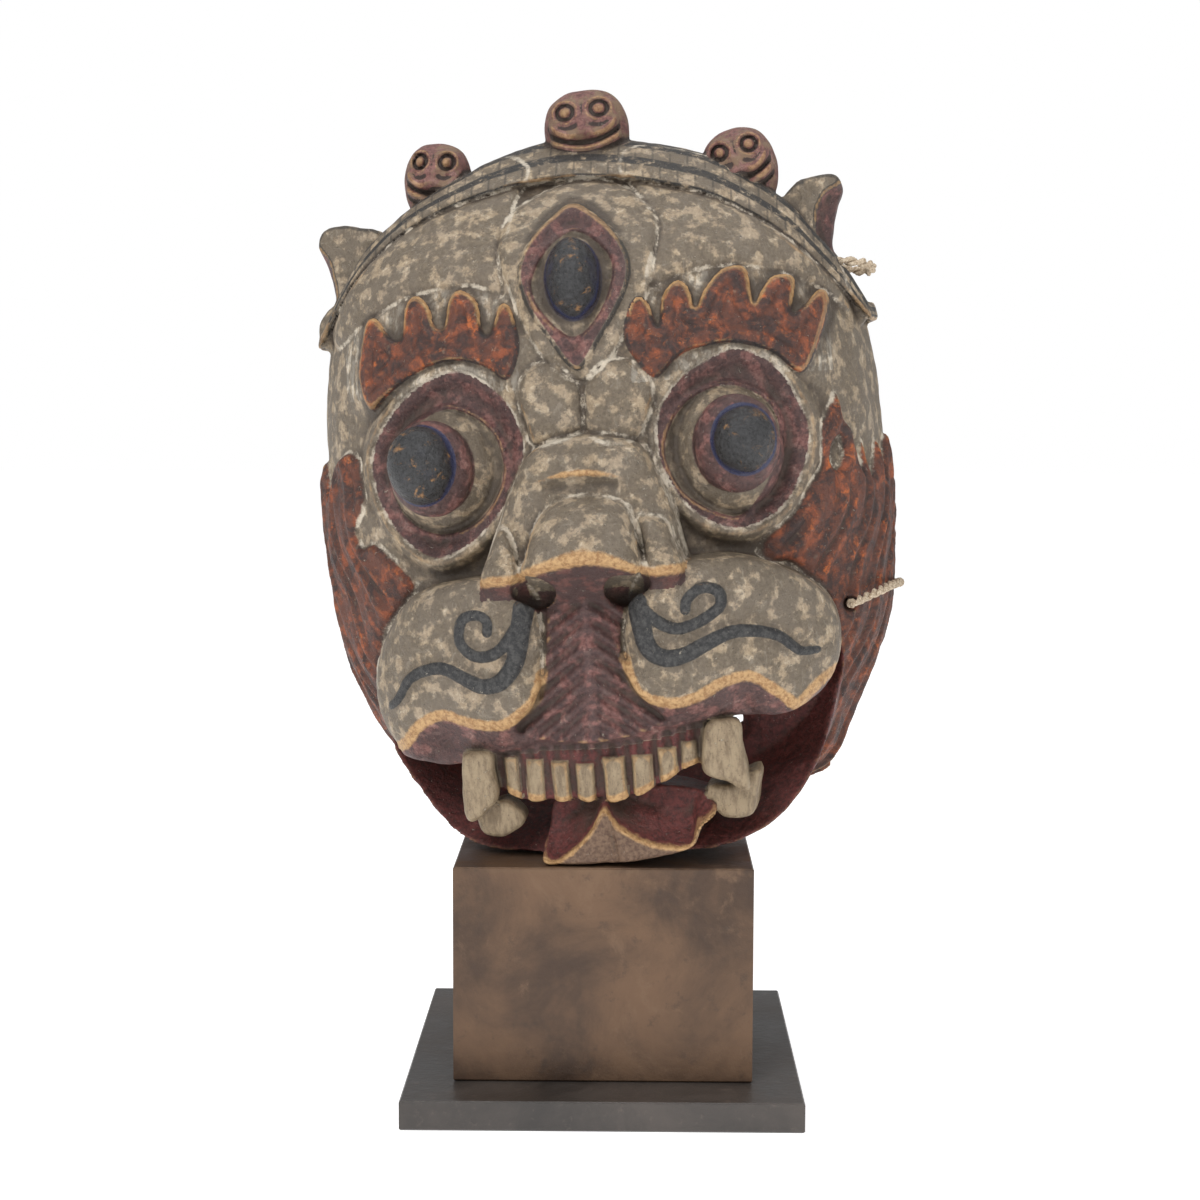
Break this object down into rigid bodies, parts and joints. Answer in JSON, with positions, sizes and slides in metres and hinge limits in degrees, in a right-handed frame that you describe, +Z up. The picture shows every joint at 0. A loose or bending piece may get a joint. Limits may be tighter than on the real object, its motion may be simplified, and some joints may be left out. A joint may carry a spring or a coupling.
{
  "type": "tibetan cham mask on a stand",
  "caption": "Carved and painted wooden dance mask of a wrathful protector with a third eye, bared teeth and skull crown, hollow behind, mounted on a block and base plate.",
  "frame": {"origin": "centre of the base plate's underside", "axes": "+Z up, the face looks along -Y, +X is the viewer's right"},
  "size_m": [0.3247, 0.2106, 0.5218],
  "materials": {
    "painted_wood": "old distemper paint over carved wood, worn to the ground along the ridges",
    "fibre": "twisted plant fibre",
    "black_steel": "matt black",
    "block_finish": "mottled brown patina, satin",
    "base_finish": "dark stain, satin, chipped at the corners"
  },
  "bodies": {
    "root": {"mask": "painted_wood", "cord_jaw": "fibre", "cord_ear": "fibre", "support_post": "black_steel", "plinth_block": "block_finish", "base_plate": "base_finish"}
  },
  "joints": []
}
